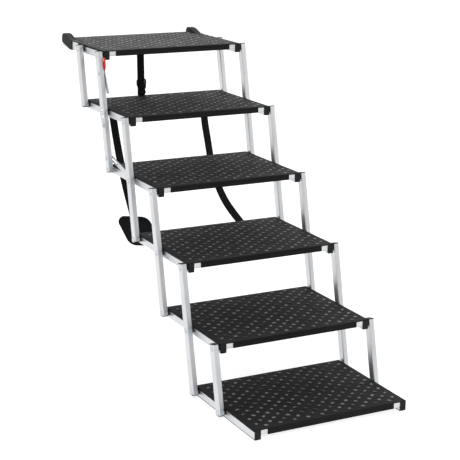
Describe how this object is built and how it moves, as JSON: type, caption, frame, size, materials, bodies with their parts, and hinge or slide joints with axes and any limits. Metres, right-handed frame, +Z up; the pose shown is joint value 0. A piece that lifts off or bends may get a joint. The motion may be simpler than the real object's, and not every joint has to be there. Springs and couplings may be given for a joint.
{
  "type": "folding pet steps",
  "caption": "Folding pet stair for a car: level non-slip treads on parallel aluminium links, with straps and rubber end boots.",
  "frame": {"origin": "on the ground under the middle of the opened stair's bounding box", "axes": "+X across the treads, +Y from the lowest tread towards the vehicle, +Z up"},
  "size_m": [0.4541, 1.167, 0.7711],
  "materials": {
    "anodised": "satin anodised",
    "deck": "matte",
    "mat": "raised grain, semi-matte",
    "plastic": "moulded",
    "rubber": "matte",
    "steel": "zinc plated",
    "tab": "moulded",
    "webbing": "woven",
    "pad": "padded"
  },
  "bodies": {
    "step_1": {"step1_side_rails": "anodised", "step1_cross_rails": "anodised", "step1_deck": "deck", "step1_mat": "mat", "step1_end_plugs": "plastic", "foot_strips": "rubber"},
    "step_2": {"step2_side_rails": "anodised", "step2_cross_rails": "anodised", "step2_deck": "deck", "step2_mat": "mat", "step2_end_plugs": "plastic"},
    "step_3": {"step3_side_rails": "anodised", "step3_cross_rails": "anodised", "step3_deck": "deck", "step3_mat": "mat", "step3_end_plugs": "plastic"},
    "step_4": {"step4_side_rails": "anodised", "step4_cross_rails": "anodised", "step4_deck": "deck", "step4_mat": "mat", "step4_end_plugs": "plastic"},
    "step_5": {"step5_side_rails": "anodised", "step5_cross_rails": "anodised", "step5_deck": "deck", "step5_mat": "mat", "step5_end_plugs": "plastic", "carry_strap": "webbing", "shoulder_pad": "pad"},
    "step_6": {"step6_side_rails": "anodised", "step6_cross_rails": "anodised", "step6_deck": "deck", "step6_mat": "mat", "step6_end_plugs": "plastic", "boots": "rubber", "tie_strap": "webbing", "strap_adjuster": "plastic"},
    "link_a": {"link_a": "anodised", "link_a_caps": "plastic", "link_a_bolts": "steel", "stop_plate": "steel"},
    "link_b": {"link_b": "anodised", "link_b_caps": "plastic", "link_b_bolts": "steel"},
    "link_c": {"link_c": "anodised", "link_c_caps": "plastic", "link_c_bolts": "steel"},
    "link_d": {"link_d": "anodised", "link_d_caps": "plastic", "link_d_bolts": "steel"},
    "link_e": {"link_e": "anodised", "link_e_caps": "plastic", "link_e_bolts": "steel"},
    "link_f": {"link_f": "anodised", "link_f_caps": "plastic", "link_f_bolts": "steel"},
    "stop_stay": {"stop_stay": "steel"},
    "lock_lever": {"lock_lever": "steel", "release_tab": "tab"}
  },
  "joints": [
    {"name": "fold", "type": "hinge", "parent": "step_6", "child": "link_a", "pos_m": [0, 0.2825, 0.74523], "axis": [1, 0, 0], "range_deg": [0, 90.78], "deforming": ["tie_strap", "strap_adjuster", "carry_strap", "shoulder_pad"]},
    {"name": "step_5_level", "type": "hinge", "parent": "link_a", "child": "step_5", "pos_m": [0, 0.2505, 0.59869], "axis": [1, 0, 0], "range_deg": [-90.88, 0.1]},
    {"name": "link_b_swing", "type": "hinge", "parent": "step_5", "child": "link_b", "pos_m": [0, 0.1115, 0.59869], "axis": [1, 0, 0], "range_deg": [-0.1, 90.88]},
    {"name": "step_4_level", "type": "hinge", "parent": "link_b", "child": "step_4", "pos_m": [0, 0.0795, 0.45214], "axis": [1, 0, 0], "range_deg": [-90.88, 0.1]},
    {"name": "link_c_swing", "type": "hinge", "parent": "step_4", "child": "link_c", "pos_m": [0, -0.0595, 0.45214], "axis": [1, 0, 0], "range_deg": [-0.1, 90.88]},
    {"name": "step_3_level", "type": "hinge", "parent": "link_c", "child": "step_3", "pos_m": [0, -0.0915, 0.30559], "axis": [1, 0, 0], "range_deg": [-90.88, 0.1]},
    {"name": "link_d_swing", "type": "hinge", "parent": "step_3", "child": "link_d", "pos_m": [0, -0.2305, 0.30559], "axis": [1, 0, 0], "range_deg": [-0.1, 90.88]},
    {"name": "step_2_level", "type": "hinge", "parent": "link_d", "child": "step_2", "pos_m": [0, -0.2625, 0.15905], "axis": [1, 0, 0], "range_deg": [-90.88, 0.1]},
    {"name": "link_e_swing", "type": "hinge", "parent": "step_2", "child": "link_e", "pos_m": [0, -0.4015, 0.15905], "axis": [1, 0, 0], "range_deg": [-0.1, 90.88]},
    {"name": "step_1_level", "type": "hinge", "parent": "link_e", "child": "step_1", "pos_m": [0, -0.4335, 0.0125], "axis": [1, 0, 0], "range_deg": [-90.88, 0.1]},
    {"name": "link_f_swing", "type": "hinge", "parent": "step_6", "child": "link_f", "pos_m": [0, 0.4215, 0.74523], "axis": [1, 0, 0], "range_deg": [-0.1, 90.88]},
    {"name": "stop_stay_turn", "type": "hinge", "parent": "step_4", "child": "stop_stay", "pos_m": [0, 0.0795, 0.45214], "axis": [1, 0, 0], "range_deg": [-7, 0.1]},
    {"name": "lock_lever_turn", "type": "hinge", "parent": "link_a", "child": "lock_lever", "pos_m": [0, 0.26683, 0.69973], "axis": [1, 0, 0], "range_deg": [-12, 0]}
  ],
  "couplings": [
    {"joint": "step_5_level", "follows": "fold", "ratio": -1},
    {"joint": "link_b_swing", "follows": "fold", "ratio": 1},
    {"joint": "step_4_level", "follows": "fold", "ratio": -1},
    {"joint": "link_c_swing", "follows": "fold", "ratio": 1},
    {"joint": "step_3_level", "follows": "fold", "ratio": -1},
    {"joint": "link_d_swing", "follows": "fold", "ratio": 1},
    {"joint": "step_2_level", "follows": "fold", "ratio": -1},
    {"joint": "link_e_swing", "follows": "fold", "ratio": 1},
    {"joint": "step_1_level", "follows": "fold", "ratio": -1},
    {"joint": "link_f_swing", "follows": "fold", "ratio": 1},
    {"joint": "stop_stay_turn", "follows": "fold", "ratio": -0.0756}
  ]
}
